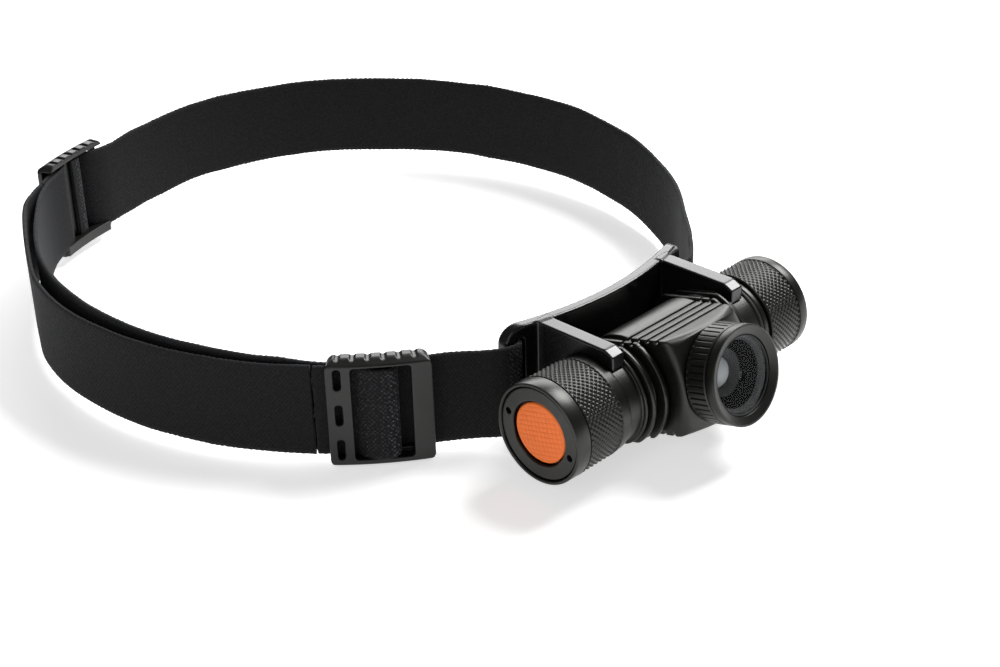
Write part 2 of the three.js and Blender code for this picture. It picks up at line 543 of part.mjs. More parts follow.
// ---- sliders, each made about -90 degrees and turned to its place on the loop ----
function sliderGeometry() {
  const block = toSolid(sector(-100, -80, SLIDER_R, SLIDER_R + SLIDER_DEPTH, BASE_Z, SLIDER_TOP, 8));
  const face = toSolid(roundedBlock(SLIDER_SLOTTED_END, SLIDER_PLAIN_END, BASE_Z, SLIDER_TOP, SLIDER_CORNER,
    -100, -85));
  const pocket = toSolid(sector(-102, -78, 85, SLIDER_BAR_R, SLIDER_WINDOW_LOW, SLIDER_WINDOW_HIGH, 8));
  const opening = toSolid(roundedBlock(-SLIDER_WINDOW_HALF_W, SLIDER_WINDOW_HALF_W, SLIDER_WINDOW_LOW,
    SLIDER_WINDOW_HIGH, 0.8, -100, -85));
  const bevels = [[SLIDER_TOP, 1], [BASE_Z, -1]].map(([edge, up]) => {
    const reach = 2 * (SLIDER_R + SLIDER_DEPTH - SLIDER_BEVEL_R);
    const wedge = new THREE.Shape();
    wedge.moveTo(-SLIDER_BEVEL_R, edge);
    wedge.lineTo(-SLIDER_BEVEL_R - reach, edge - up * 2 * SLIDER_BEVEL_DROP);
    wedge.lineTo(-SLIDER_BEVEL_R - reach, edge + up);
    wedge.lineTo(-SLIDER_BEVEL_R, edge + up);
    wedge.closePath();
    const g = new THREE.ExtrudeGeometry(wedge, { depth: 40, bevelEnabled: false });
    // The outline's own X becomes Y, its Y becomes Z, and it runs along X.
    return toSolid(g.rotateX(Math.PI / 2).rotateZ(Math.PI / 2).translate(-20, 0, 0));
  });
  const bar = toSolid(boxBetween(-CENTRE_BAR_HALF_W, CENTRE_BAR_HALF_W, -94.1, -92.8,
    SLIDER_WINDOW_LOW - 0.5, SLIDER_WINDOW_HIGH + 0.5));
  const middle = (SLIDER_WINDOW_LOW + SLIDER_WINDOW_HIGH) / 2;
  const slots = [-SLIDER_SLOT_PITCH, 0, SLIDER_SLOT_PITCH].map((dz) =>
    toSolid(roundedBlock(SLIDER_SLOT_X - SLIDER_SLOT_HALF_W, SLIDER_SLOT_X + SLIDER_SLOT_HALF_W,
      middle + dz - SLIDER_SLOT_HALF_H, middle + dz + SLIDER_SLOT_HALF_H, 0.6, -100, -85)));
  const notches = [];
  for (let i = 0; i < NOTCH_COUNT; i++) {
    const x = NOTCH_FIRST + NOTCH_PITCH * i;
    for (const z of [BASE_Z - NOTCH_OUT, SLIDER_TOP + NOTCH_OUT]) {
      const groove = new THREE.CylinderGeometry(NOTCH_R, NOTCH_R, 20, 6).translate(x, -95, z);
      notches.push(toSolid(groove));
    }
  }
  return toGeometry(join(cut(block.intersect(face), pocket, opening, ...bevels, ...slots, ...notches), bar));
}

// Seats a slider on the strap: its middle at the angle, turned with the strap's own swell.
const SLIDER_MIDDLE_R = SLIDER_R + SLIDER_DEPTH / 2;
function seated(mesh, angle, lift) {
  const step = 6;
  const rise = swellAt(angle + step) - swellAt(angle - step);
  const turn = rad(angle + 90) - Math.atan2(rise, rad(2 * step) * SLIDER_MIDDLE_R);
  const middle = polar(angle, SLIDER_MIDDLE_R);
  mesh.rotation.z = turn;
  const [inX, inY] = [SLIDER_MIDDLE_R * Math.sin(turn), -SLIDER_MIDDLE_R * Math.cos(turn)];
  mesh.position.set(middle.x - inX, middle.y - inY, lift);
}
const slider = sliderGeometry();
seated(place(loop, 'front_slider', slider, blackPlastic()), FRONT_SLIDER_ANGLE, 0);
seated(place(loop, 'rear_slider', slider, blackPlastic()), REAR_SLIDER_ANGLE, REAR_SLIDER_LIFT);

// The rear strap's end, folded round the front slider's centre bar.
const rearEndRoute = [[-16.4, SECOND_R], [-12, 92.1], [-8, 92.5], [-5, 93.9], [-2.6, 94.9], [0, 95.15],
  [2.3, 94.9], [3.4, 93.8], [3.1, 92.6], [1.8, 91.95], [0, 91.85], [-2.6, 91.85]];
place(loop, 'strap_rear_end', ribbon(alongLoop(rearEndRoute, FRONT_SLIDER_ANGLE, 34), OVERLAP_LIFTS),
  webbing());

// ---- put the origin under the middle of the bounding box ----
headlamp.updateMatrixWorld(true);
const bounds = new THREE.Box3().setFromObject(headlamp, true);
const centre = bounds.getCenter(new THREE.Vector3());
headlamp.position.set(-centre.x, -centre.y, -bounds.min.z);

export default headlamp;
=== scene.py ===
"""Looks for the right-angle headlamp. Lengths in the making are millimetres in the tube's frame: the origin
is the middle of the tube's axis, +X runs to the battery cap, -Y is the front and +Z is up."""
import json
import math

import bpy
import numpy as np
from mathutils import Matrix, Vector


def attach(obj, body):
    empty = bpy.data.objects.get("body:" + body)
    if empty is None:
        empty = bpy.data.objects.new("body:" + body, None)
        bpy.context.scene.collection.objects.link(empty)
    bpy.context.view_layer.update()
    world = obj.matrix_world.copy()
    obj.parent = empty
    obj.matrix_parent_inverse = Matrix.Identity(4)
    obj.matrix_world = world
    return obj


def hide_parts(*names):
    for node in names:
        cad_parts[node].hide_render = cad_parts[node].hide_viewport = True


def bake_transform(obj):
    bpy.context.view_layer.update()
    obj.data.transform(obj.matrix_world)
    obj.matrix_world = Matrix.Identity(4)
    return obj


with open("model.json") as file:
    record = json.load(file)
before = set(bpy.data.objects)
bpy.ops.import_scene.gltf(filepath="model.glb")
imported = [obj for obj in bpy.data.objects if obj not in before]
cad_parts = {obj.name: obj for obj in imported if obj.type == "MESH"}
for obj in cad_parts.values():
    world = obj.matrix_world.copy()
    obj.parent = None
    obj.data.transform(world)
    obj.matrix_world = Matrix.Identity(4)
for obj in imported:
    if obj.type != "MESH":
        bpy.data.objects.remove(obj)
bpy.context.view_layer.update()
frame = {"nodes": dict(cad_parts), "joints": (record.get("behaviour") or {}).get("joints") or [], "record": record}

# ---------------------------------------------------------------- frame
MM = 0.001
JOINTS = {j["name"]: j for j in frame["joints"]}
AXIS = np.array(JOINTS["lamp_tilt"]["pos_m"], float)          # middle of the tube's axis
LENS = np.array(JOINTS["focus_turn"]["axis"], float)          # where the lens points
TILT = math.atan2(LENS[2], -LENS[1])
LOOP_Y = 109.1                                                 # centre of the head loop
BASE_Z = -16.6                                                 # foot of the bracket and the sliders


def to_row(points, lamp=False):
    """Tube-frame millimetres to the row's metres. Lamp pieces are built level, then tilted up."""
    p = np.asarray(points, float).reshape(-1, 3)
    if lamp:
        c, s = math.cos(TILT), math.sin(TILT)
        p = np.stack([p[:, 0], c * p[:, 1] + s * p[:, 2], -s * p[:, 1] + c * p[:, 2]], 1)
    return AXIS + p * MM


# ---------------------------------------------------------------- meshes
TINY = 1e-3                                                    # radius of the ring that stands for a pole


def add_mesh(name, vertices, faces, smooth=True):
    mesh = bpy.data.meshes.new(name)
    v = np.asarray(vertices, np.float64)
    if isinstance(faces, np.ndarray):
        k = faces.shape[1]
        mesh.vertices.add(len(v))
        mesh.vertices.foreach_set("co", v.ravel().astype(np.float32))
        mesh.loops.add(faces.size)
        mesh.loops.foreach_set("vertex_index", faces.ravel().astype(np.int32))
        mesh.polygons.add(len(faces))
        mesh.polygons.foreach_set("loop_start", np.arange(0, faces.size, k, dtype=np.int32))
        mesh.update(calc_edges=True)
        mesh.validate()
    else:
        mesh.from_pydata(v.tolist(), [], faces)
        mesh.update()
    if smooth:
        mesh.polygons.foreach_set("use_smooth", [True] * len(mesh.polygons))
    obj = bpy.data.objects.new(name, mesh)
    bpy.context.collection.objects.link(obj)
    return obj


def store(obj, **values):
    """Numbers kept on an object's points, for its material to read."""
    for key, value in values.items():
        data = obj.data.attributes.new(key, "FLOAT", "POINT").data
        data.foreach_set("value", np.asarray(value).ravel().astype(np.float32))


def merge(parts):
    """Several (vertices, quads) shells as one."""
    vertices, faces, start = [], [], 0
    for v, f in parts:
        vertices.append(np.asarray(v, float))
        faces.append(np.asarray(f, int) + start)
        start += len(v)
    return np.concatenate(vertices), np.concatenate(faces)


def grid_faces(n, m, wrap_n=True, wrap_m=True):
    """Quads over n rows of m points each."""
    i = np.arange(n if wrap_n else n - 1)
    j = np.arange(m if wrap_m else m - 1)
    a, b = np.meshgrid(i, j, indexing="ij")
    a, b = a.ravel(), b.ravel()
    a1, b1 = (a + 1) % n, (b + 1) % m
    return np.stack([a * m + b, a1 * m + b, a1 * m + b1, a * m + b1], 1)


def rounded(profile, radius, points=3):
    """A closed profile with its corners cut to short arcs. A third value on a point is its own radius."""
    out = []
    n = len(profile)
    for i, p in enumerate(profile):
        r = p[2] if len(p) > 2 else radius
        q = np.array(p[:2], float)
        a = np.array(profile[i - 1][:2], float) - q
        b = np.array(profile[(i + 1) % n][:2], float) - q
        la, lb = np.linalg.norm(a), np.linalg.norm(b)
        r = min(r, 0.45 * la, 0.45 * lb)
        if r <= 0 or q[1] <= 0:
            out.append(tuple(q))
            continue
        a, b = q + a / la * r, q + b / lb * r
        for t in np.linspace(0, 1, points):
            out.append(tuple((1 - t) ** 2 * a + 2 * t * (1 - t) * q + t * t * b))
    return out


def turned(profile, count, along="x", radius_of=None):
    """A body of revolution from a closed [(along, radius)] profile. Points on the axis are kept as a tiny
    ring. radius_of(angle, along, radius) may change the radius."""
    p = np.array(profile, float)
    area = np.sum(p[:, 0] * np.roll(p[:, 1], -1) - np.roll(p[:, 0], -1) * p[:, 1])
    if area < 0:
        p = p[::-1]
    a = np.arange(count) * 2 * math.pi / count
    A, H = np.meshgrid(a, p[:, 0], indexing="ij")
    R = np.broadcast_to(p[:, 1], A.shape).copy()
    if radius_of is not None:
        R = radius_of(A, H, R)
    R = np.maximum(R, TINY)
    if along == "x":
        v = np.stack([H, R * np.cos(A), R * np.sin(A)], -1)
    else:
        v = np.stack([R * np.sin(A), -H, R * np.cos(A)], -1)
    f = grid_faces(count, len(p))
    v = v.reshape(-1, 3)
    return v, (f if signed_volume(v, f) > 0 else f[:, ::-1])


def signed_volume(v, f):
    a, b, c, d = (v[f[:, i]] for i in range(4))
    return np.sum(np.einsum("ij,ij->i", a, np.cross(b, c)) + np.einsum("ij,ij->i", a, np.cross(c, d)))


def from_field(field, low, high, step, passes=2):
    """The surface of a signed distance field as quads: one vertex in each cell that the surface crosses."""
    low, high = np.array(low, float), np.array(high, float)
    n = np.ceil((high - low) / step).astype(int) + 1
    ax = [low[i] + step * np.arange(n[i]) for i in range(3)]
    f = field(*np.meshgrid(*ax, indexing="ij")).astype(np.float32)
    inside = f < 0
    count = np.zeros(n - 1, np.int8)
    for i in (0, 1):
        for j in (0, 1):
            for k in (0, 1):
                count += inside[i:n[0] - 1 + i, j:n[1] - 1 + j, k:n[2] - 1 + k]
    cell = (count > 0) & (count < 8)
    index = np.full(cell.shape, -1, np.int64)
    where = np.argwhere(cell)
    index[cell] = np.arange(len(where))
    total, hits = np.zeros((len(where), 3)), np.zeros(len(where))
    for a in range(3):
        b, c = (a + 1) % 3, (a + 2) % 3
        for ob in (0, 1):
            for oc in (0, 1):
                p0 = where.copy()
                p0[:, b] += ob
                p0[:, c] += oc
                p1 = p0.copy()
                p1[:, a] += 1
                f0, f1 = f[tuple(p0.T)], f[tuple(p1.T)]
                cross = (f0 < 0) != (f1 < 0)
                t = np.where(cross, f0 / np.where(cross, f0 - f1, 1), 0)
                point = p0.astype(float)
                point[:, a] += t
                total += point * cross[:, None]
                hits += cross
    v = low + step * total / hits[:, None]
    e = 0.02                                                   # reach of the field's measured slope
    for _ in range(passes):
        value = field(v[:, 0], v[:, 1], v[:, 2])
        g = np.stack([(field(*(v + e * d).T) - field(*(v - e * d).T)) / (2 * e) for d in np.eye(3)], 1)
        move = value[:, None] * g / np.maximum((g ** 2).sum(1), 0.2)[:, None]
        size = np.linalg.norm(move, axis=1, keepdims=True)
        v = v - move * np.minimum(1, 0.4 * step / np.maximum(size, 1e-9))
    faces = []
    for a in range(3):
        b, c = (a + 1) % 3, (a + 2) % 3
        s0 = np.take(inside, range(n[a] - 1), axis=a)
        s1 = np.take(inside, range(1, n[a]), axis=a)
        p = np.argwhere(s0 != s1)
        p = p[(p[:, b] > 0) & (p[:, c] > 0) & (p[:, b] < n[b] - 1) & (p[:, c] < n[c] - 1)]
        first = inside[tuple(p.T)]
        eb, ec = np.eye(3, dtype=int)[b], np.eye(3, dtype=int)[c]
        q = np.stack([index[tuple((p - o).T)] for o in (0 * eb, eb, eb + ec, ec)], 1)
        q[~first] = q[~first][:, ::-1]
        faces.append(q)
    return v, np.concatenate(faces)


def smax(a, b, k):
    """The larger of two distances, rounded over k where they meet."""
    h = np.maximum(k - np.abs(a - b), 0) / k
    return np.maximum(a, b) + h * h * k / 4


def smin(a, b, k):
    return -smax(-a, -b, k)


# ---------------------------------------------------------------- camera
CAMERA_AT = (-313.32, -252.91, 229.68)
CAMERA_AIM = (-45.442, 28.747, -1.428)                         # azimuth, elevation and roll, in degrees


def aim(az, el, roll):
    a, e, r = math.radians(az), math.radians(el), math.radians(roll)
    back = Vector((math.sin(a) * math.cos(e), -math.cos(a) * math.cos(e), math.sin(e)))
    right = (-back).cross(Vector((0, 0, 1))).normalized()
    up = right.cross(-back)
    x = right * math.cos(r) + up * math.sin(r)
    y = up * math.cos(r) - right * math.sin(r)
    return Matrix((x, y, back)).transposed().to_4x4()


camera = bpy.data.objects.new("camera", bpy.data.cameras.new("camera"))
bpy.context.collection.objects.link(camera)
camera.matrix_world = Matrix.Translation(Vector(to_row(CAMERA_AT)[0])) @ aim(*CAMERA_AIM)
camera.data.lens = 66.50
camera.data.sensor_width = 36
camera.data.clip_start = 0.01
camera.data.clip_end = 30
bpy.context.scene.camera = camera

# ---------------------------------------------------------------- materials
class Look:
    """A material under construction: a Principled shader and short calls for the nodes that feed it."""

    def __init__(self, name, **values):
        self.material = bpy.data.materials.new(name)
        self.material.use_nodes = True
        self.tree = self.material.node_tree
        self.shader = self.tree.nodes["Principled BSDF"]
        for key, value in values.items():
            self.set(key.replace("_", " "), value)

    def set(self, socket, value):
        s = self.shader.inputs[socket]
        if hasattr(value, "links"):
            self.tree.links.new(value, s)
        else:
            s.default_value = (*value, 1) if s.type == "RGBA" and len(value) == 3 else value
        return self

    def node(self, kind, *inputs, out=0, **settings):
        n = self.tree.nodes.new("ShaderNode" + kind)
        for key, value in settings.items():
            setattr(n, key, value)
        named = inputs and isinstance(inputs[0], dict)
        for key, value in (inputs[0] if named else dict(enumerate(inputs))).items():
            if value is None:
                continue
            if hasattr(value, "links"):
                self.tree.links.new(value, n.inputs[key])
            else:
                n.inputs[key].default_value = value
        return n.outputs[out]

    def math(self, operation, a, b=None):
        return self.node("Math", a, b, operation=operation)

    def place(self):
        """Where a point is, in the object's own metres at rest."""
        return self.node("TexCoord", out="Object")

    def attribute(self, name):
        return self.node("Attribute", attribute_name=name, out="Fac")

    def noise(self, scale, detail=3.0, rough=0.5, vector=None):
        return self.node("TexNoise", {"Vector": vector or self.place(), "Scale": scale, "Detail": detail,
                                      "Roughness": rough})

    def span(self, value, low, high, to_low, to_high):
        return self.node("MapRange", {"Value": value, "From Min": low, "From Max": high, "To Min": to_low,
                                      "To Max": to_high})

    def colours(self, share, first, second):
        return self.node("Mix", {0: share, 6: (*first, 1), 7: (*second, 1)}, data_type="RGBA", out=2)

    def bump(self, height, distance, strength=1.0):
        normal = self.node("Bump", {"Height": height, "Distance": distance, "Strength": strength})
        return self.set("Normal", normal)


def metal(name, dark, light, rough, spread, grain=0.012, metallic=0.9):
    """Blasted and anodised, or machined: fine grain and slow colour drift."""
    k = Look(name, Metallic=metallic)
    drift = k.noise(90.0, 4.0, 0.6)
    fine = k.noise(6500.0, 2.0, 0.5)
    k.set("Base Color", k.colours(k.span(drift, 0.3, 0.7, 0.0, 1.0), dark, light))
    k.set("Roughness", k.span(k.math("ADD", drift, k.math("MULTIPLY", fine, 0.6)), 0.5, 1.1, rough - spread,
                              rough + spread))
    k.bump(fine, grain * MM)
    return k.material


def plastic(name, dark, light, rough, spread, grain=0.01, scale=4200.0, specular=0.5):
    k = Look(name, Specular_IOR_Level=specular)
    drift = k.noise(70.0, 4.0, 0.6)
    fine = k.noise(scale, 2.0, 0.6)
    k.set("Base Color", k.colours(k.span(drift, 0.3, 0.7, 0.0, 1.0), dark, light))
    k.set("Roughness", k.span(k.math("ADD", drift, k.math("MULTIPLY", fine, 0.5)), 0.45, 1.05, rough - spread,
                              rough + spread))
    k.bump(fine, grain * MM)
    return k.material


WARP_PITCH, WEFT_PITCH = 0.62, 1.05


def webbing():
    """Woven elastic, from its own length and width in millimetres: fine warp ribs, weft crossings in broken
    rows, pale core threads that show where the band bends open, and a fuzzy grey edge."""
    k = Look("elastic webbing", Sheen_Weight=0.06, Sheen_Roughness=0.4, Specular_IOR_Level=0.22)
    k.shader.inputs["Sheen Tint"].default_value = (0.7, 0.72, 0.76, 1)
    s, t = k.attribute("along"), k.attribute("across")
    opened, edge = k.attribute("opened"), k.attribute("edge")
    wander = k.math("MULTIPLY", k.noise(260.0, 2.0), 1.2)
    warp = k.math("SINE", k.math("ADD", k.math("MULTIPLY", t, 2 * math.pi / WARP_PITCH), wander))
    row = k.math("FLOOR", k.math("MULTIPLY", t, 1 / WARP_PITCH))
    shift = k.math("MULTIPLY", k.math("MODULO", k.math("ABSOLUTE", row), 2.0), math.pi)
    along = k.math("MULTIPLY", s, 2 * math.pi / WEFT_PITCH)
    weft = k.math("SINE", k.math("ADD", k.math("ADD", along, shift), wander))
    weave = k.math("MULTIPLY", k.math("ABSOLUTE", warp), k.math("ADD", k.math("MULTIPLY", weft, 0.5), 0.5))
    cell = k.node("CombineXYZ", k.math("MULTIPLY", s, 1.15), k.math("MULTIPLY", t, 1.5), 0.0)
    patch = k.node("TexNoise", {"Vector": cell, "Scale": 1.0, "Detail": 1.5})
    fluff = k.noise(2600.0, 2.0, 0.7)
    pale = k.math("MULTIPLY", k.span(patch, 0.45, 0.68, 0.0, 1.0), k.span(weave, 0.35, 0.8, 0.0, 1.0))
    ground = k.colours(k.math("ADD", k.math("MULTIPLY", weave, 0.6), k.span(patch, 0.35, 0.65, 0.0, 0.4)),
                       (0.003, 0.003, 0.0034), (0.011, 0.011, 0.0125))
    show = k.math("MULTIPLY", pale, k.span(opened, 0.0, 1.0, 0.03, 0.9))
    flecked = k.node("Mix", {0: show, 6: ground, 7: (0.17, 0.18, 0.2, 1)}, data_type="RGBA", out=2)
    worn = k.node("Mix", {0: k.math("MULTIPLY", edge, k.span(fluff, 0.3, 0.7, 0.1, 0.75)), 6: flecked,
                          7: (0.045, 0.046, 0.05, 1)}, data_type="RGBA", out=2)
    k.set("Base Color", worn)
    k.set("Roughness", k.span(fluff, 0.3, 0.7, 0.72, 0.95))
    k.bump(k.math("ADD", weave, k.math("MULTIPLY", fluff, 0.8)), 0.045 * MM, 0.9)
    return k.material


def rubber_grid():
    """Orange silicone with a moulded grid, with painted shade that makes the grooves darker and duller."""
    k = Look("orange rubber", Specular_IOR_Level=0.35)
    groove = k.attribute("groove")
    mottle = k.noise(900.0, 4.0, 0.6)
    # Painted shade: the grooves are darker orange, by an amount that varies at random.
    k.set("Base Color", k.colours(k.math("MULTIPLY", groove, k.span(mottle, 0.3, 0.7, 0.2, 0.5)),
                                  (0.92, 0.185, 0.024), (0.5, 0.07, 0.008)))
    k.set("Roughness", k.span(mottle, 0.3, 0.7, 0.42, 0.6))
    k.bump(k.noise(5200.0, 2.0), 0.008 * MM)
    return k.material


def optic():
    """A clear coated lens with a slight haze. Its back is opaque and painted with light and shade that show
    through its face: a dark field of painted shade along its cone, a paler band of painted light next to the LED
    and the domed pocket over it, painted whitish as painted light. Its index is well below acrylic's 1.49, so
    that the pocket shows whole and the floor's reflection stays faint."""
    k = Look("clear optic", IOR=1.17)
    backed, shade = k.attribute("backed"), k.attribute("shade")
    haze = k.noise(420.0, 3.0)
    # Painted light and shade on the lens's opaque back, from near black to whitish.
    inside = k.node("Mix", {0: k.math("MULTIPLY", shade, k.span(haze, 0.3, 0.7, 0.85, 1.0)),
                            6: (0.006, 0.006, 0.006, 1), 7: (0.90, 0.94, 0.96, 1)}, data_type="RGBA", out=2)
    k.set("Base Color", k.node("Mix", {0: backed, 6: (0.96, 0.97, 0.98, 1), 7: inside},
                               data_type="RGBA", out=2))
    k.set("Transmission Weight", k.math("SUBTRACT", 1.0, backed))
    k.set("Specular IOR Level", k.math("SUBTRACT", 0.5, k.math("MULTIPLY", backed, 0.5)))
    k.set("Specular Tint", (0.06, 0.07, 0.085, 1.0))
    k.set("Roughness", k.math("ADD", k.span(haze, 0.3, 0.7, 0.0, 0.02), k.math("MULTIPLY", backed, 0.12)))
    k.bump(haze, 0.004 * MM, 0.3)
    return k.material


def board():
    """Solder mask with copper traces beneath it."""
    k = Look("circuit board", Specular_IOR_Level=0.6)
    tracks = k.node("TexBrick", {"Vector": k.place(), "Scale": 420.0, "Mortar Size": 0.03}, out=1)
    drift = k.noise(600.0)
    k.set("Base Color", k.colours(k.math("MULTIPLY", tracks, k.span(drift, 0.3, 0.7, 0.3, 0.9)),
                                  (0.01, 0.09, 0.035), (0.04, 0.22, 0.09)))
    k.set("Roughness", k.span(drift, 0.3, 0.7, 0.25, 0.45))
    k.bump(tracks, 0.03 * MM)
    return k.material


def led():
    k = Look("led phosphor", Specular_IOR_Level=0.7, Subsurface_Weight=0.2)
    cells = k.node("TexVoronoi", {"Vector": k.place(), "Scale": 2600.0})
    k.set("Base Color", k.colours(k.span(cells, 0.0, 0.6, 0.0, 1.0), (0.85, 0.66, 0.08), (0.95, 0.84, 0.3)))
    k.set("Roughness", k.span(cells, 0.0, 0.6, 0.2, 0.4))
    k.bump(cells, 0.02 * MM)
    return k.material


LOOKS = {
    "anodised": metal("black anodised aluminium", (0.034, 0.0345, 0.0325), (0.047, 0.0475, 0.045),
                      0.34, 0.05),
    "black_rubber": plastic("black rubber", (0.010, 0.010, 0.010), (0.020, 0.020, 0.020), 0.6, 0.1,
                            0.012, 3000.0),
    "inner_plastic": plastic("inner plastic", (0.03, 0.03, 0.03), (0.06, 0.06, 0.06), 0.5, 0.08),
    "circuit_board": board(),
    "contact_brass": metal("gilt contact", (0.75, 0.5, 0.18), (0.86, 0.64, 0.28), 0.25, 0.08, 0.006, 1.0),
    "spring_steel": metal("spring steel", (0.5, 0.5, 0.5), (0.62, 0.62, 0.63), 0.24, 0.07, 0.006, 1.0),
    "orange_rubber": rubber_grid(),
    "cell_sleeve": plastic("cell sleeve", (0.02, 0.09, 0.32), (0.03, 0.13, 0.42), 0.28, 0.08, 0.01, 900.0),
    "star_board": plastic("black board", (0.012, 0.012, 0.012), (0.02, 0.02, 0.02), 0.4, 0.08, 0.02, 2500.0),
    "led_phosphor": led(),
    "wire_insulation": plastic("wire insulation", (0.2, 0.012, 0.01), (0.28, 0.02, 0.015), 0.4, 0.08,
                               0.01, 1500.0),
    "optic": optic(),
    "bracket_plastic": plastic("bracket plastic", (0.004, 0.004, 0.004), (0.007, 0.007, 0.007), 0.24, 0.05,
                               0.006, 2600.0),
    "slider_plastic": plastic("slider plastic", (0.006, 0.006, 0.0055), (0.010, 0.010, 0.009), 0.36, 0.06,
                              0.008, 3600.0, 0.4),
    "elastic_webbing": webbing(),
}
SLOT_OF = {s["node"]: s["material_slot"] for s in frame["record"]["subparts"]}
for node, obj in frame["nodes"].items():
    obj.data.materials.clear()
    obj.data.materials.append(LOOKS[SLOT_OF[node]])


def finish_piece(obj, slot, body=None, nodes=()):
    obj.data.materials.append(LOOKS[slot])
    if body is not None:
        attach(obj, body)
    if nodes:
        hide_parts(*nodes)
    return obj


def lamp_piece(name, shells, slot, body, *nodes):
    v, f = merge(shells)
    return finish_piece(add_mesh(name, to_row(v, lamp=True), f), slot, body, nodes)


# ---------------------------------------------------------------- lamp body
TUBE_R = 13.0
BORE_R = 9.6                  # room for the cell
END = 44.8                    # half the lamp's length
SEAT_R = 11.95                # where the clips hold the tube
KNURL_R = 13.07
KNURL_PITCH = 1.5
KNURL_COUNT = 54
THREAD_PITCH = 1.0


def knurl(x0, x1, depth=0.45):
    """Radius change of a diamond knurl between x0 and x1: two crossing sets of helical grooves."""
    def change(angle, x, r):
        a, b = angle * KNURL_COUNT / (2 * math.pi), (x - x0) / KNURL_PITCH
        ridge = np.minimum(*(np.abs((t - np.floor(t)) - 0.5) * 2 for t in (a + b, a - b)))
        cut = depth * np.clip(1.35 * (0.82 - ridge), 0, 1)
        return np.where((x > x0 + 1e-6) & (x < x1 - 1e-6) & (r > 12.9), r - cut, r)
    return change


def knurled_band(x0, x1):
    step = KNURL_PITCH / 6
    return [(x, KNURL_R, 0) for x in np.arange(x0, x1 + 1e-9, step)]


GRIP = (-40.1, -28.75)
grip_profile = rounded([
    (-END, 12.3), (-END, TUBE_R, 0.35), (-40.4, TUBE_R), (-40.35, 12.7), (-40.2, 12.7), (-40.15, 12.95),
    *knurled_band(*GRIP), (-28.7, 12.95), (-28.6, 12.98), (-28.2, 12.9), (-28.2, BORE_R), (-34.4, BORE_R),
    (-34.4, 11.1), (-42.4, 11.1), (-42.4, 12.05), (-44.4, 12.05)], 0.12)
grip = turned(grip_profile, KNURL_COUNT * 6, radius_of=knurl(*GRIP))


def helix(angle, x):
    """How much of the thread's helical ridge stands at a point, 0 to 1."""
    turn = (x / THREAD_PITCH - angle / (2 * math.pi)) % 1.0
    return np.clip(1.6 - np.abs(turn - 0.5) * 5, 0, 1)


def thread(angle, x, r):
    """The thread on the tube's battery end."""
    return np.where((x > 29.6) & (x < 37.1) & (r > 11.2), r - 0.35 * (1 - helix(angle, x)), r)


male_profile = [(28.9, BORE_R), (28.9, 11.5), *[(x, 11.6) for x in np.arange(29.5, 37.2, 0.125)],
                (37.5, 11.2), (37.5, BORE_R)]
male_thread = turned(male_profile, 96, radius_of=thread)

FINS = [(-20.6, -19.85, 13.1), (-19.1, -17.95, 14.1), (-15.75, -14.45, 15.1)]  # from x, to x, radius
FIN_GROOVE = (19.5, 0.35, 12.35)                               # middle, half width and floor radius
RIBS = [4.1 + 2.9 * i for i in range(4)]                       # grooves across the block's top and bottom
BLOCK_X = 13                                                   # half widths of the head block
BLOCK_Z = 12.5
BLOCK_FACE = 19.1
CONE_SLOPE = 1.5
SOCKET_R = 10.8                                                # bore that the lens barrel slides in
SOCKET_FLOOR = 11.3
NECK = (5, 24.9, 11.5)                                         # back, front and radius under the focus ring


def coaxial(x, rho, x0, x1, r, k=0.3):
    return smax(rho - r, np.abs(x - (x0 + x1) / 2) - (x1 - x0) / 2, k)


def body_field(x, y, z):
    """The machined middle of the tube: necks, fins, head block and lens socket round the cell's bore."""
    d = -y
    rho, rc = np.hypot(y, z), np.hypot(x, z)
    out = coaxial(x, rho, -26, 26.5, SEAT_R)
    out = np.minimum(out, smax(rho - (12.98 - 0.094 * (x + 28.7)), np.abs(x + 27.2) - 1.75, 0.35))
    out = np.minimum(out, coaxial(x, rho, 27.7, 29.35, 12.35))
    out = np.minimum(out, coaxial(x, rho, 26, 29, 11.1))
    fins = coaxial(x, rho, -17.95, -12.9, 11.9)
    middle, half, floor_r = FIN_GROOVE
    out = smax(out, -smax(np.abs(np.abs(x) - middle) - half, floor_r - rho, 0.15), 0.2)
    for x0, x1, r in FINS:
        for a, b in ((x0, x1), (-x1, -x0)):
            fins = np.minimum(fins, coaxial(x, rho, a, b, r))
    out = smin(out, smax(fins, np.abs(z) - BLOCK_Z, 0.3), 0.2)
    out = smin(out, smax(rho - TUBE_R, np.abs(x) - BLOCK_X, 0.35), 0.2)
    cone = (rc - (13.2 + CONE_SLOPE * (BLOCK_FACE - d))) / math.hypot(1, CONE_SLOPE)
    block = smax(smax(np.abs(x) - BLOCK_X, np.abs(z) - BLOCK_Z, 0.5), smax(d - BLOCK_FACE, -d, 0.3), 0.4)
    out = smin(out, smax(block, cone, 1.8), 0.25)
    for rib in RIBS:
        channel = smax(smax(np.abs(d - rib) - 0.42, 11.55 - np.abs(z), 0.2), np.abs(x) - 16.9, 0.2)
        out = smax(out, -channel, 0.25)
    back, front, neck_r = NECK
    out = np.minimum(out, smax(smax(rc - neck_r, d - front, 0.2), back - d, 0.2))
    out = smax(out, -smax(rc - SOCKET_R, SOCKET_FLOOR - d, 0.2), 0.2)
    return smax(out, -(rho - BORE_R), 0.2)


centre = from_field(body_field, (-29.4, -25.3, -13.6), (30, 15.7, 13.6), 0.32)
lamp_piece("lamp_body", [grip, male_thread, centre], "anodised", "lamp", "body_tube")

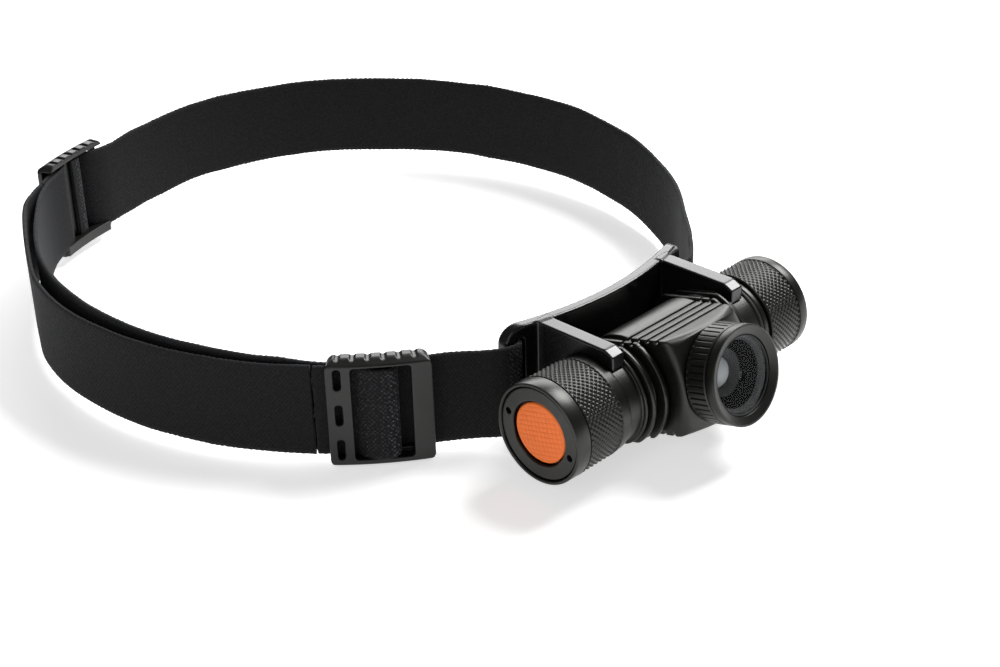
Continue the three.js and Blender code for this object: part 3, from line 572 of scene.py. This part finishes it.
# ---------------------------------------------------------------- battery cap
CAP_KNURL = (30.05, 41.5)
CAP_THREAD_R = 11.95
cap_profile = rounded([
    (29.75, CAP_THREAD_R), (29.75, 12.75), (29.95, 12.95), *knurled_band(*CAP_KNURL), (41.6, 12.95),
    (41.65, 12.7),
    (41.8, 12.7), (41.85, TUBE_R), (END, TUBE_R, 0.4), (END, 3.0), (END - 0.35, 2.6), (END - 0.35, 0),
    (42.8, 0), (42.8, 10.5), (38.2, 10.5),
    *[(x, CAP_THREAD_R) for x in np.arange(38.1, 30.2, -0.125)]], 0.12)


def cap_change(angle, x, r):
    """The cap's knurl outside and its thread inside."""
    threaded = (x > 30.6) & (x < 37.9) & (np.abs(r - CAP_THREAD_R) < 0.01)
    inner = np.where(threaded, r + 0.3 * helix(angle, x), r)
    return knurl(*CAP_KNURL)(angle, x, inner)


cap = turned(cap_profile, KNURL_COUNT * 6, radius_of=cap_change)
lamp_piece("cap_shell", [cap], "anodised", "battery_cap_body", "battery_cap")


def o_ring(along, radius, half, axis="x", count=96):
    a = np.linspace(0, 2 * math.pi, 14, endpoint=False)
    return turned([(along + half * math.cos(t), radius + half * math.sin(t)) for t in a], count, axis)


lamp_piece("tube_seal", [o_ring(27.1, 11.75, 0.56)], "black_rubber", "lamp", "tube_o_ring")

# ---------------------------------------------------------------- switch end
SPANNER_HOLES = (29.7, 10.1, 0.85)                             # direction in degrees, distance and radius
BUTTON_R = 7.8
BUTTON_BACK = -43.0
GRID_PITCH = 1.25


def ring_field(x, y, z):
    """The retaining ring with its two spanner holes."""
    rho = np.hypot(y, z)
    out = smax(smax(rho - 11.9, 8.3 - rho, 0.2), np.abs(x + 43.55) - 0.9, 0.5)
    direction, away, hole_r = SPANNER_HOLES
    a = math.radians(direction)
    for side in (-1, 1):
        hole = np.hypot(y - side * away * math.cos(a), z - side * away * math.sin(a)) - hole_r
        out = smax(out, -smax(hole, x + 43.1, 0.1), 0.2)
    return out


ring = from_field(ring_field, (-44.9, -12.3, -12.3), (-42.3, 12.3, 12.3), 0.16)
lamp_piece("switch_ring", [ring], "anodised", "lamp", "switch_retaining_ring")


def button_shape():
    """A shallow dome with a moulded square grid."""
    rings = np.concatenate([np.linspace(0, 7.3, 58), [7.5, 7.65, 7.75, BUTTON_R]])
    count = 220
    a = np.arange(count) * 2 * math.pi / count
    R, A = np.meshgrid(rings, a, indexing="ij")
    R = np.maximum(R, TINY)
    y, z = R * np.cos(A), R * np.sin(A)
    dome = -44.3 + 0.35 * (R / BUTTON_R) ** 2 + 0.3 * np.clip((R - 7.3) / 0.5, 0, 1) ** 2
    gap = np.minimum(*(np.abs(((t / GRID_PITCH) % 1.0) - 0.5) * GRID_PITCH for t in (y, z)))
    groove = np.clip(1 - gap / 0.16, 0, 1) * (R < 7.2)
    v = np.stack([dome + 0.12 * groove, y, z], -1).reshape(-1, 3)
    back = np.stack([np.full(count, BUTTON_BACK), BUTTON_R * np.cos(a), BUTTON_R * np.sin(a)], 1)
    hub = np.stack([np.full(count, BUTTON_BACK), TINY * np.cos(a), TINY * np.sin(a)], 1)
    v = np.concatenate([v, back, hub])
    f = grid_faces(len(rings) + 2, count)
    if signed_volume(v, f) < 0:
        f = f[:, ::-1]
    g = np.concatenate([groove.ravel(), np.zeros(2 * count)])
    return v, f, g


v, f, groove = button_shape()
button = add_mesh("button_dome", to_row(v, lamp=True), f)
store(button, groove=groove)
finish_piece(button, "orange_rubber", "button", ["button_cap"])
boot_profile = rounded([(-42.5, 7.9), (-42.5, 10.8), (-41.9, 10.8), (-41.9, 7.9)], 0.1)
lamp_piece("boot_ring", [turned(boot_profile, 96)], "black_rubber", "lamp", "boot_flange")

# ---------------------------------------------------------------- focusing head
RIB_COUNT = 48


def ribs(angle, d, r):
    """Grooves between the focus ring's ribs, fading out at both ends."""
    share = (angle * RIB_COUNT / (2 * math.pi)) % 1.0
    tooth = np.clip((0.43 - np.abs(share - 0.5)) / 0.05, 0, 1)
    fade = np.clip((d - 19.45) / 0.25, 0, 1) * np.clip((24.75 - d) / 0.25, 0, 1)
    return np.where(r > 12.1, r - 0.5 * fade * (1 - tooth), r)


COLLAR_STATIONS = (19.5, 19.6, 19.7, 20, 21, 22, 23, 24, 24.4, 24.5, 24.6, 24.7)
collar_profile = rounded([
    (19.25, 11.7), (19.25, 12.35), (19.4, 12.5), *[(d, 12.5, 0) for d in COLLAR_STATIONS], (24.8, 12.5),
    (25.1, 12.2), (25.1, 11.7)], 0.1)
lamp_piece("collar", [turned(collar_profile, RIB_COUNT * 14, "d", ribs)], "anodised", "focus_ring_body",
           "focus_ring")
barrel_profile = rounded([
    (15, 9.6), (15, 10.55), (16.1, 10.55), (16.1, 10), (16.9, 10), (16.9, 10.55), (25.35, 10.55),
    (25.35, 12.3, 0.2), (25.6, 12.5), (27.8, 12.5, 0.35), (27.75, 11.9), (27.0, 10.2, 0.3), (26.9, 10.03),
    (24.9, 10.03), (24.75, 9.35), (15.6, 4.85), (15.2, 4.95), (15.2, 5.3), (23.0, 9.3)], 0.12)
lamp_piece("bezel", [turned(barrel_profile, 192, "d")], "anodised", "lens_barrel_body", "lens_barrel")
POCKET_MOUTH, POCKET_DEPTH, POCKET_R = 15.5, 2.7, 3.9          # the domed pocket over the LED
LENS_CONE = (15.6, 24.6)                                       # where the lens's cone starts and ends
LENS_R = 9.95
LENS_FACE = 26.3
LENS_PAINTED_LIGHT = [(15.0, 0.12), (16.2, 0.16), (18.5, 0.11), (18.9, 0.006), (23.4, 0.004), (23.7, 0.09),
               (25.3, 0.14)]                                   # painted light and shade on the lens's opaque back, along the axis


def lens_shape():
    """A slightly domed face over a cone with a domed pocket, with where its back is opaque and the painted light
    and shade on that back. The face has several rings of points, because long facets under smooth shading would
    bend the view of the pocket."""
    dome = [(POCKET_MOUTH + POCKET_DEPTH * math.cos(math.radians(t)), POCKET_R * math.sin(math.radians(t)), 0)
            for t in range(0, 91, 9)]
    cone = [(d, 4.3 + (d - LENS_CONE[0]) * 4.6 / 9.0, 0) for d in np.linspace(*LENS_CONE, 46)]
    face = [(LENS_FACE - 0.001 * r * r, r, 0) for r in (9, 7.5, 6, 4.5, 3, 1.5, 0)]
    profile = [*dome, (15.3, 3.95, 0), (15.3, 4.4, 0), *cone, (25.1, 9.3, 0), (25.1, LENS_R, 0.1),
               (26.2, LENS_R, 0.25), *face]
    v, f = turned(rounded(profile, 0.1), 160, "d")
    d, r = -v[:, 1], np.hypot(v[:, 0], v[:, 2])
    backed = (d < 25.2).astype(float)
    shade = np.interp(d, *np.array(LENS_PAINTED_LIGHT).T)
    pocket = (r < 3.96) & (d < 20)
    # The pocket is painted whitish, paler towards its dome's top: painted light standing in for the lit LED.
    return v, f, backed, np.where(pocket, 0.8 + 0.2 * (d - POCKET_MOUTH) / POCKET_DEPTH, shade)


v, f, backed, shade = lens_shape()
lens = add_mesh("tir_lens", to_row(v, lamp=True), f)
store(lens, backed=backed, shade=shade)
finish_piece(lens, "optic", "lens_barrel_body", ["lens"])
lamp_piece("lens_gasket", [o_ring(26.45, 9.7, 0.2, "d")], "black_rubber", "lens_barrel_body", "lens_seal")

# ---------------------------------------------------------------- bracket
PLATE_R = (91.4, 94.4)                                         # the plate's two faces, about the head loop
TOP_Z = 15.7
ARM_X, ARM_HALF = 22.92, 2.18                                  # an arm's middle and half its thickness
CLIP_R = 12.25                                                 # inside of the snap clips
BACK_CUT = 60                                                  # keeps only the front of the loop's circle


def rounded_box(x, y, x0, x1, y0, y1, r):
    """Distance to a rectangle with corner radius r, in two directions."""
    dx = np.abs(x - (x0 + x1) / 2) - (x1 - x0) / 2 + r
    dy = np.abs(y - (y0 + y1) / 2) - (y1 - y0) / 2 + r
    return np.hypot(np.maximum(dx, 0), np.maximum(dy, 0)) + np.minimum(np.maximum(dx, dy), 0) - r


def bracket_field(x, y, z):
    """The curved plate with two clip arms and two strap slots."""
    r = np.hypot(x, y - LOOP_Y)
    plate = smax(np.abs(r - sum(PLATE_R) / 2) - (PLATE_R[1] - PLATE_R[0]) / 2,
                 rounded_box(x, z, -33.3, 33.3, BASE_Z, TOP_Z, 5), 0.6)
    plate = smax(plate, y - BACK_CUT, 0.1)
    ax = np.abs(x)
    side = smax(np.abs(z - (TOP_Z + BASE_Z) / 2) - (TOP_Z - BASE_Z) / 2, np.maximum(-6.1 - y, y - 18.6), 0.4)
    upper = (z - TOP_Z + 1.3) * 0.894 + (-y - 6.1) * 0.447
    lower = (-z + BASE_Z) * 0.764 + (-y + 0.3) * 0.645
    arms = smax(smax(smax(side, upper, 0.3), lower, 0.4), np.abs(ax - ARM_X) - ARM_HALF, 0.4)
    out = smin(plate, arms, 0.9)
    out = smax(out, CLIP_R - np.hypot(y, z), 0.3)
    slot = rounded_box(ax, z, 28.35, 30.7, -15, 12.5, 1.0)
    out = smax(out, -np.maximum(slot, y - BACK_CUT), 0.4)
    return np.maximum(out, BASE_Z - z)


v, f = from_field(bracket_field, (-34, -6.6, BASE_Z - 0.35), (34, 24.5, TOP_Z + 0.4), 0.33)
bracket = add_mesh("bracket_shell", to_row(v), f)
finish_piece(bracket, "bracket_plastic", "headband", ["bracket"])

# ---------------------------------------------------------------- sliders
SLIDER_R = 90.9               # inner face of the rails
SLIDER_DEPTH = 4.7
SLIDER_ENDS = (-13.2, 12.3)
SLIDER_Z = (BASE_Z, 13.4)
WINDOW_Z = (-14.1, 11.5)
WINDOW_HALF = 7.2             # along the strap
SLIDERS = {"front": (-129.8, 0.0), "rear": (-245.0, 2.3)}      # angle on the loop, lift
NOTCHES = [-10.3 + 3.75 * i for i in range(6)]
NOTCH_R, NOTCH_OUT = 0.85, 0.35
HOLES = (-9.8, 0, 9.8)        # the three long holes, from the window's middle height
BEND_R = 93.5                 # radius that a slider is bent to
SEAT_SPAN = 6                 # degrees to each side over which a slider follows the swell


def slider_field(s, z, w):
    """A slider laid flat: s along the strap, z up, w outwards from the rails' inner face."""
    out = smax(rounded_box(s, z, *SLIDER_ENDS, *SLIDER_Z, 2.8),
               np.abs(w - SLIDER_DEPTH / 2) - SLIDER_DEPTH / 2, 0.4)
    middle, half = sum(SLIDER_Z) / 2, (SLIDER_Z[1] - SLIDER_Z[0]) / 2
    bevel = (np.abs(z - middle) - half) * 0.868 + (w - 2.6) * 0.496
    out = smax(out, bevel, 0.35)
    middle = sum(WINDOW_Z) / 2
    pocket = np.maximum(np.abs(z - middle) - (WINDOW_Z[1] - WINDOW_Z[0]) / 2, w - 3.1)
    out = smax(out, -pocket, 0.3)
    out = smax(out, -rounded_box(s, z, -WINDOW_HALF, WINDOW_HALF, *WINDOW_Z, 0.9), 0.35)
    for dz in HOLES:
        hole = rounded_box(s, z, -11.3, -9.5, middle + dz - 2.8, middle + dz + 2.8, 0.85)
        out = smax(out, -hole, 0.4)
    for x in NOTCHES:
        for edge in SLIDER_Z:
            away = NOTCH_OUT if edge > 0 else -NOTCH_OUT
            notch = np.hypot(s - x, z - edge - away) - NOTCH_R
            out = smax(out, -notch, 0.2)
    bar = smax(np.hypot(s / 2.1, (w - 2.5) / 0.72) - 1, np.abs(z - middle) - 13.4, 0.1) * 0.7
    # A low lip under the strap's edge, on the inner side of the bottom rail.
    lip = smax(rounded_box(s, w, -11.5, 10.6, -1.3, 1.5, 0.6), np.abs(z + 14.6) - 1.45, 0.3)
    return smin(smin(out, bar, 0.4), lip, 0.3)


SLIDER_SHAPE = from_field(slider_field, (-13.6, BASE_Z - 0.4, -1.7), (12.7, 13.8, 5.0), 0.18)


SWELL, SWELL_AT, SWELL_WIDTH = 3.0, 124, 12


def unwound(angle):
    """An angle round the head brought to -80 to 280 degrees."""
    return (np.asarray(angle, float) + 80) % 360 - 80


def swell(angle):
    """The loose strap and its slider stand off the head's circle in a low swell on the rear left."""
    return SWELL * np.exp(-(((unwound(angle) - SWELL_AT) / SWELL_WIDTH) ** 2))


def make_slider(side, body):
    """The flat slider bent to the loop, then seated and turned with the strap's own swell."""
    angle, lift = SLIDERS[side]
    v, f = SLIDER_SHAPE
    a = v[:, 0] / BEND_R
    r = SLIDER_R + v[:, 2]
    mid = SLIDER_R + SLIDER_DEPTH / 2
    out = float(swell(angle))
    rise = float(swell(angle + SEAT_SPAN) - swell(angle - SEAT_SPAN))
    t = math.radians(angle)
    turn = t - math.atan2(rise, math.radians(2 * SEAT_SPAN) * mid)
    x = mid * math.cos(t) + out * math.cos(t) + r * np.cos(turn + a) - mid * math.cos(turn)
    y = mid * math.sin(t) + out * math.sin(t) + r * np.sin(turn + a) - mid * math.sin(turn)
    p = np.stack([x, LOOP_Y + y, v[:, 1] + lift], 1)
    if signed_volume(p, f) < 0:
        f = f[:, ::-1]
    obj = add_mesh(side + "_buckle", to_row(p), f)
    return finish_piece(obj, "slider_plastic", body, [side + "_slider"])


make_slider("front", "front_slider_body")
make_slider("rear", "headband")

# ---------------------------------------------------------------- strap
STRAP_R = 90.35               # middle of the inner layer
SECOND_R = 92.0               # middle of the outer layer
STRAP_W = 25.0
STRAP_T = 1.3
STRAP_Z = -1.7
EDGE_R = 0.45                 # reach of the band's rounded edge
RIB_PITCH = 1.95              # of the ribs along its face


def polar(points):
    """[(degrees, radius)] round the head loop as x and y, standing off with the swell."""
    p = np.array(points, float)
    a, r = np.radians(p[:, 0]), p[:, 1] + swell(p[:, 0])
    return np.stack([r * np.cos(a), r * np.sin(a)], 1)


def lift_at(stations, angle):
    """Height above STRAP_Z at an angle round the head, eased between the stations."""
    a = unwound(angle)
    x, h = np.array(stations, float).T
    i = np.clip(np.searchsorted(x, a) - 1, 0, len(x) - 2)
    t = np.clip((a - x[i]) / (x[i + 1] - x[i]), 0, 1)
    return h[i] + (h[i + 1] - h[i]) * t * t * (3 - 2 * t)


def arc(a0, a1, r, step=2.5):
    """Points every few degrees on a circle."""
    return [(a, r) for a in np.linspace(a0, a1, int(abs(a1 - a0) / step) + 2)]


def along_loop(route, angle):
    """A route of [(millimetres along the loop, radius)] set down at an angle."""
    return [(angle + math.degrees(s / r), r) for s, r in route]


def curve(points, step):
    """Evenly spaced points on a smooth line through the given ones."""
    p = np.asarray(points, float)
    ends = np.concatenate([[2 * p[0] - p[1]], p, [2 * p[-1] - p[-2]]])
    t = np.linspace(0, 1, 24, endpoint=False)[:, None]
    out = []
    for i in range(len(p) - 1):
        a, b, c, d = ends[i:i + 4]
        out.append(0.5 * (2 * b + (c - a) * t + (2 * a - 5 * b + 4 * c - d) * t ** 2
                          + (3 * b - a - 3 * c + d) * t ** 3))
    fine = np.concatenate(out + [p[-1:]])
    length = np.concatenate([[0], np.cumsum(np.linalg.norm(np.diff(fine, axis=0), axis=1))])
    s = np.linspace(0, length[-1], max(int(length[-1] / step), 4) + 1)
    return np.stack([np.interp(s, length, fine[:, k]) for k in range(2)], 1), s


def strap(name, route, body, nodes, seed, stations, frayed=None):
    """A woven band that stands on a line in the plan: rounded, slightly wavy edges and a ribbed face.
    frayed is the cut end, 0 or -1."""
    line, s = curve(polar(route), 0.42)
    rng = np.random.default_rng(seed)
    tangent = np.gradient(line, axis=0)
    tangent /= np.linalg.norm(tangent, axis=1, keepdims=True)
    side = np.stack([-tangent[:, 1], tangent[:, 0]], 1)
    bend = np.abs(np.gradient(np.unwrap(np.arctan2(tangent[:, 1], tangent[:, 0])), s))
    spread = np.clip((np.convolve(np.pad(bend, 6, "edge"), np.ones(13) / 13, "valid") - 0.1) / 0.22, 0, 1)
    half_t, half_w = STRAP_T / 2, STRAP_W / 2
    ring = []
    for face in (1, -1):
        for c in np.linspace(-1, 1, 26) * face:
            ring.append((c * (half_w - EDGE_R), face * half_t))
        for a in (40, 90, 140):
            ring.append((face * (half_w - EDGE_R + EDGE_R * math.sin(math.radians(a))),
                         face * half_t * math.cos(math.radians(a))))
    u, w = np.array(ring).T
    at_edge = np.clip((np.abs(u) - (half_w - 1.0)) / 1.0, 0, 1)
    knots = np.arange(0, s[-1] + 12, 6.0)
    wave = np.interp(s, knots, rng.normal(0, 0.09, len(knots)))
    scallop = 0.07 * np.sin(2 * math.pi * s / 1.5) + 0.04 * rng.normal(0, 1, len(s))
    heights = u[None, :] + np.sign(u)[None, :] * at_edge[None, :] * (scallop + wave)[:, None]
    thick = w * (1 - 0.12 * at_edge) + np.sign(w) * 0.03 * np.cos(2 * math.pi * u / RIB_PITCH)
    plan = line[:, None, :] + side[:, None, :] * thick[None, :, None]
    if frayed is not None:
        near = np.clip(1 - np.abs(s - s[frayed]) / 1.2, 0, 1)
        plan = plan + (near[:, None] * rng.normal(0, 0.3, len(u))[None, :])[..., None] * tangent[frayed]
    z = STRAP_Z + heights + lift_at(stations, np.degrees(np.arctan2(line[:, 1], line[:, 0])))[:, None]
    v = np.concatenate([plan, z[..., None]], -1)
    v[..., 1] += LOOP_Y
    n, m = v.shape[:2]
    caps = [v[i].mean(0) * 0.999 + v[i] * 0.001 for i in (0, -1)]
    v = np.concatenate([caps[0][None], v, caps[1][None]]).reshape(-1, 3)
    f = grid_faces(n + 2, m, wrap_n=False)
    if signed_volume(v, f) < 0:
        f = f[:, ::-1]
    obj = add_mesh(name, to_row(v), f)
    padded = np.concatenate([s[:1], s, s[-1:]])
    opened = np.concatenate([spread[:1], spread, spread[-1:]])
    store(obj, along=np.repeat(padded[:, None], m, 1), across=np.repeat(u[None, :], n + 2, 0),
          edge=np.repeat(at_edge[None, :] ** 2, n + 2, 0), opened=np.repeat(opened[:, None], m, 1))
    finish_piece(obj, "elastic_webbing", body, nodes)
    return obj


# Lines in the plan: (degrees, radius) round the posts, (millimetres along the loop, radius) at the sliders.
SLOT = [(-110.3, 90.2), (-109.6, 90.3), (-108.9, 90.65), (-108.45, 91.5), (-108.35, 92.9), (-108.4, 94)]
LEFT_POST = SLOT + [
    (-108.7, 94.9), (-109.6, 95.5), (-111.2, 95.3), (-112.8, 94.3), (-114.6, 92.8), (-116.6, 91.55),
    (-118.8, 90.8), (-121, 90.45), (-123, STRAP_R)]
RIGHT_POST = [(-180 - a, r) for a, r in SLOT] + [
    (-71.6, 95.3), (-71.2, 96.4), (-70.4, 97.1), (-69.2, 97.3), (-67.3, 96.5), (-65.3, 95.6), (-62.5, 94.3),
    (-59.7, 93.3), (-55, 91.75), (-51, 90.8), (-47, 90.4), (-44, STRAP_R)]
FRONT_END = [(16, STRAP_R), (12, STRAP_R), (9, 90.5), (6.2, 90.9), (4.3, 91.9), (3.5, 93.3), (2.4, 94.8),
             (0, 95.1), (-2.4, 94.8), (-3.4, 93.7), (-3, 92.5), (-1.8, 91.95), (1, 91.85)]
PASS = [(-15.3, STRAP_R), (-12, 90.5), (-9, 91.2), (-6.8, 92.4), (-5.6, 94), (-4.4, 95.6), (-2.4, 96.5),
        (0, 96.7), (2.4, 96.5), (4.4, 95.6), (5.6, 94), (7, 92.7), (9, 92.2), (12, 92.05), (16.8, SECOND_R)]
REAR_END = [(-16.4, SECOND_R), (-12, 92.0), (-8, 92.05), (-5.6, 92.6), (-4.2, 93.9), (-2.4, 94.95),
            (0, 95.2), (2.3, 94.95), (3.5, 93.8), (3.2, 92.6), (1.8, 91.95), (0, 91.85), (-2.6, 91.85)]
OVERLAP = [(-234.3, 92.1), (-231, 93.2), (-226, 94.1), (-218, 93.5), (-207, 93.1), (-198, 94), (-188, 93.9),
           (-178, 93.3), (-168, 92.9), (-157, 92.4), (-148, 92.1), (-140.3, SECOND_R)]
# Heights above STRAP_Z: (degrees, millimetres).
LIFTS = [(-80, 1.1), (-66, 0.8), (-50, -0.4), (-30, -0.5), (-14, 0.9), (3, 2.2), (40, 3.3), (61, 4.2),
         (83, 4.3), (97, 3), (105, 2.3), (150, 2.3), (180, 2.2), (200, 1.7), (213, 1.1), (222, -0.1),
         (243, 0), (252, 1.1), (280, 1.1)]
OUTER_LIFTS = [(120, 2.3), (130, 2.1), (145, 1.3), (160, 0.4), (170, 0.1), (230, -0.1)]
front, rear = SLIDERS["front"][0], SLIDERS["rear"][0]
strap("front_band", LEFT_POST + arc(-126, -232, STRAP_R) + along_loop(FRONT_END, rear), "headband",
      ["strap_front"], 1, LIFTS)
strap("rear_band", RIGHT_POST + arc(-41, 103, STRAP_R) + along_loop(PASS, rear + 360), "headband",
      ["strap_rear"], 2, LIFTS)
overlap = strap("overlap_band", OVERLAP, None, ["strap_overlap"], 3, OUTER_LIFTS)
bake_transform(overlap)
strap("end_fold", along_loop(REAR_END, front), "front_slider_body", ["strap_rear_end"], 4, OUTER_LIFTS,
      frayed=0)

# ---------------------------------------------------------------- studio
def floor_look():
    k = Look("pale floor", Roughness=0.9, Specular_IOR_Level=0.1, Emission_Strength=0.6)
    k.shader.inputs["Emission Color"].default_value = (1, 1, 1, 1)
    tone = k.noise(3.0)
    k.set("Base Color", k.colours(k.span(tone, 0.3, 0.7, 0.0, 1.0), (0.86, 0.86, 0.86), (0.9, 0.9, 0.9)))
    return k.material


FLOOR = 6                                                      # half its side, in metres
corners = FLOOR * np.array([[-1, -1, 0], [1, -1, 0], [1, 1, 0], [-1, 1, 0]])
floor = add_mesh("floor", AXIS * [1, 1, 0] + corners, [(0, 1, 2, 3)], smooth=False)
floor.data.materials.append(floor_look())

world = bpy.data.worlds.new("studio")
bpy.context.scene.world = world
world.use_nodes = True
world.node_tree.nodes["Background"].inputs["Color"].default_value = (1, 1, 1, 1)
world.node_tree.nodes["Background"].inputs["Strength"].default_value = 0.12


def softbox(name, place, size, power, target=(0, 0, 0.01)):
    light = bpy.data.lights.new(name, "AREA")
    light.shape = "RECTANGLE"
    light.size, light.size_y = size
    light.energy = power
    obj = bpy.data.objects.new(name, light)
    bpy.context.collection.objects.link(obj)
    obj.location = place
    direction = Vector(target) - Vector(place)
    obj.rotation_euler = direction.to_track_quat("-Z", "Y").to_euler()


softbox("key", (0.66, -0.10, 0.86), (0.5, 0.5), 14.0)
softbox("back_right", (0.80, 0.80, 0.60), (0.9, 0.7), 11.0)
softbox("left_front", (-1.0, -0.35, 0.55), (0.35, 0.7), 2.0, (0, -0.08, 0.02))
bpy.context.scene.view_settings.view_transform = "Standard"
bpy.context.scene.view_settings.look = "None"
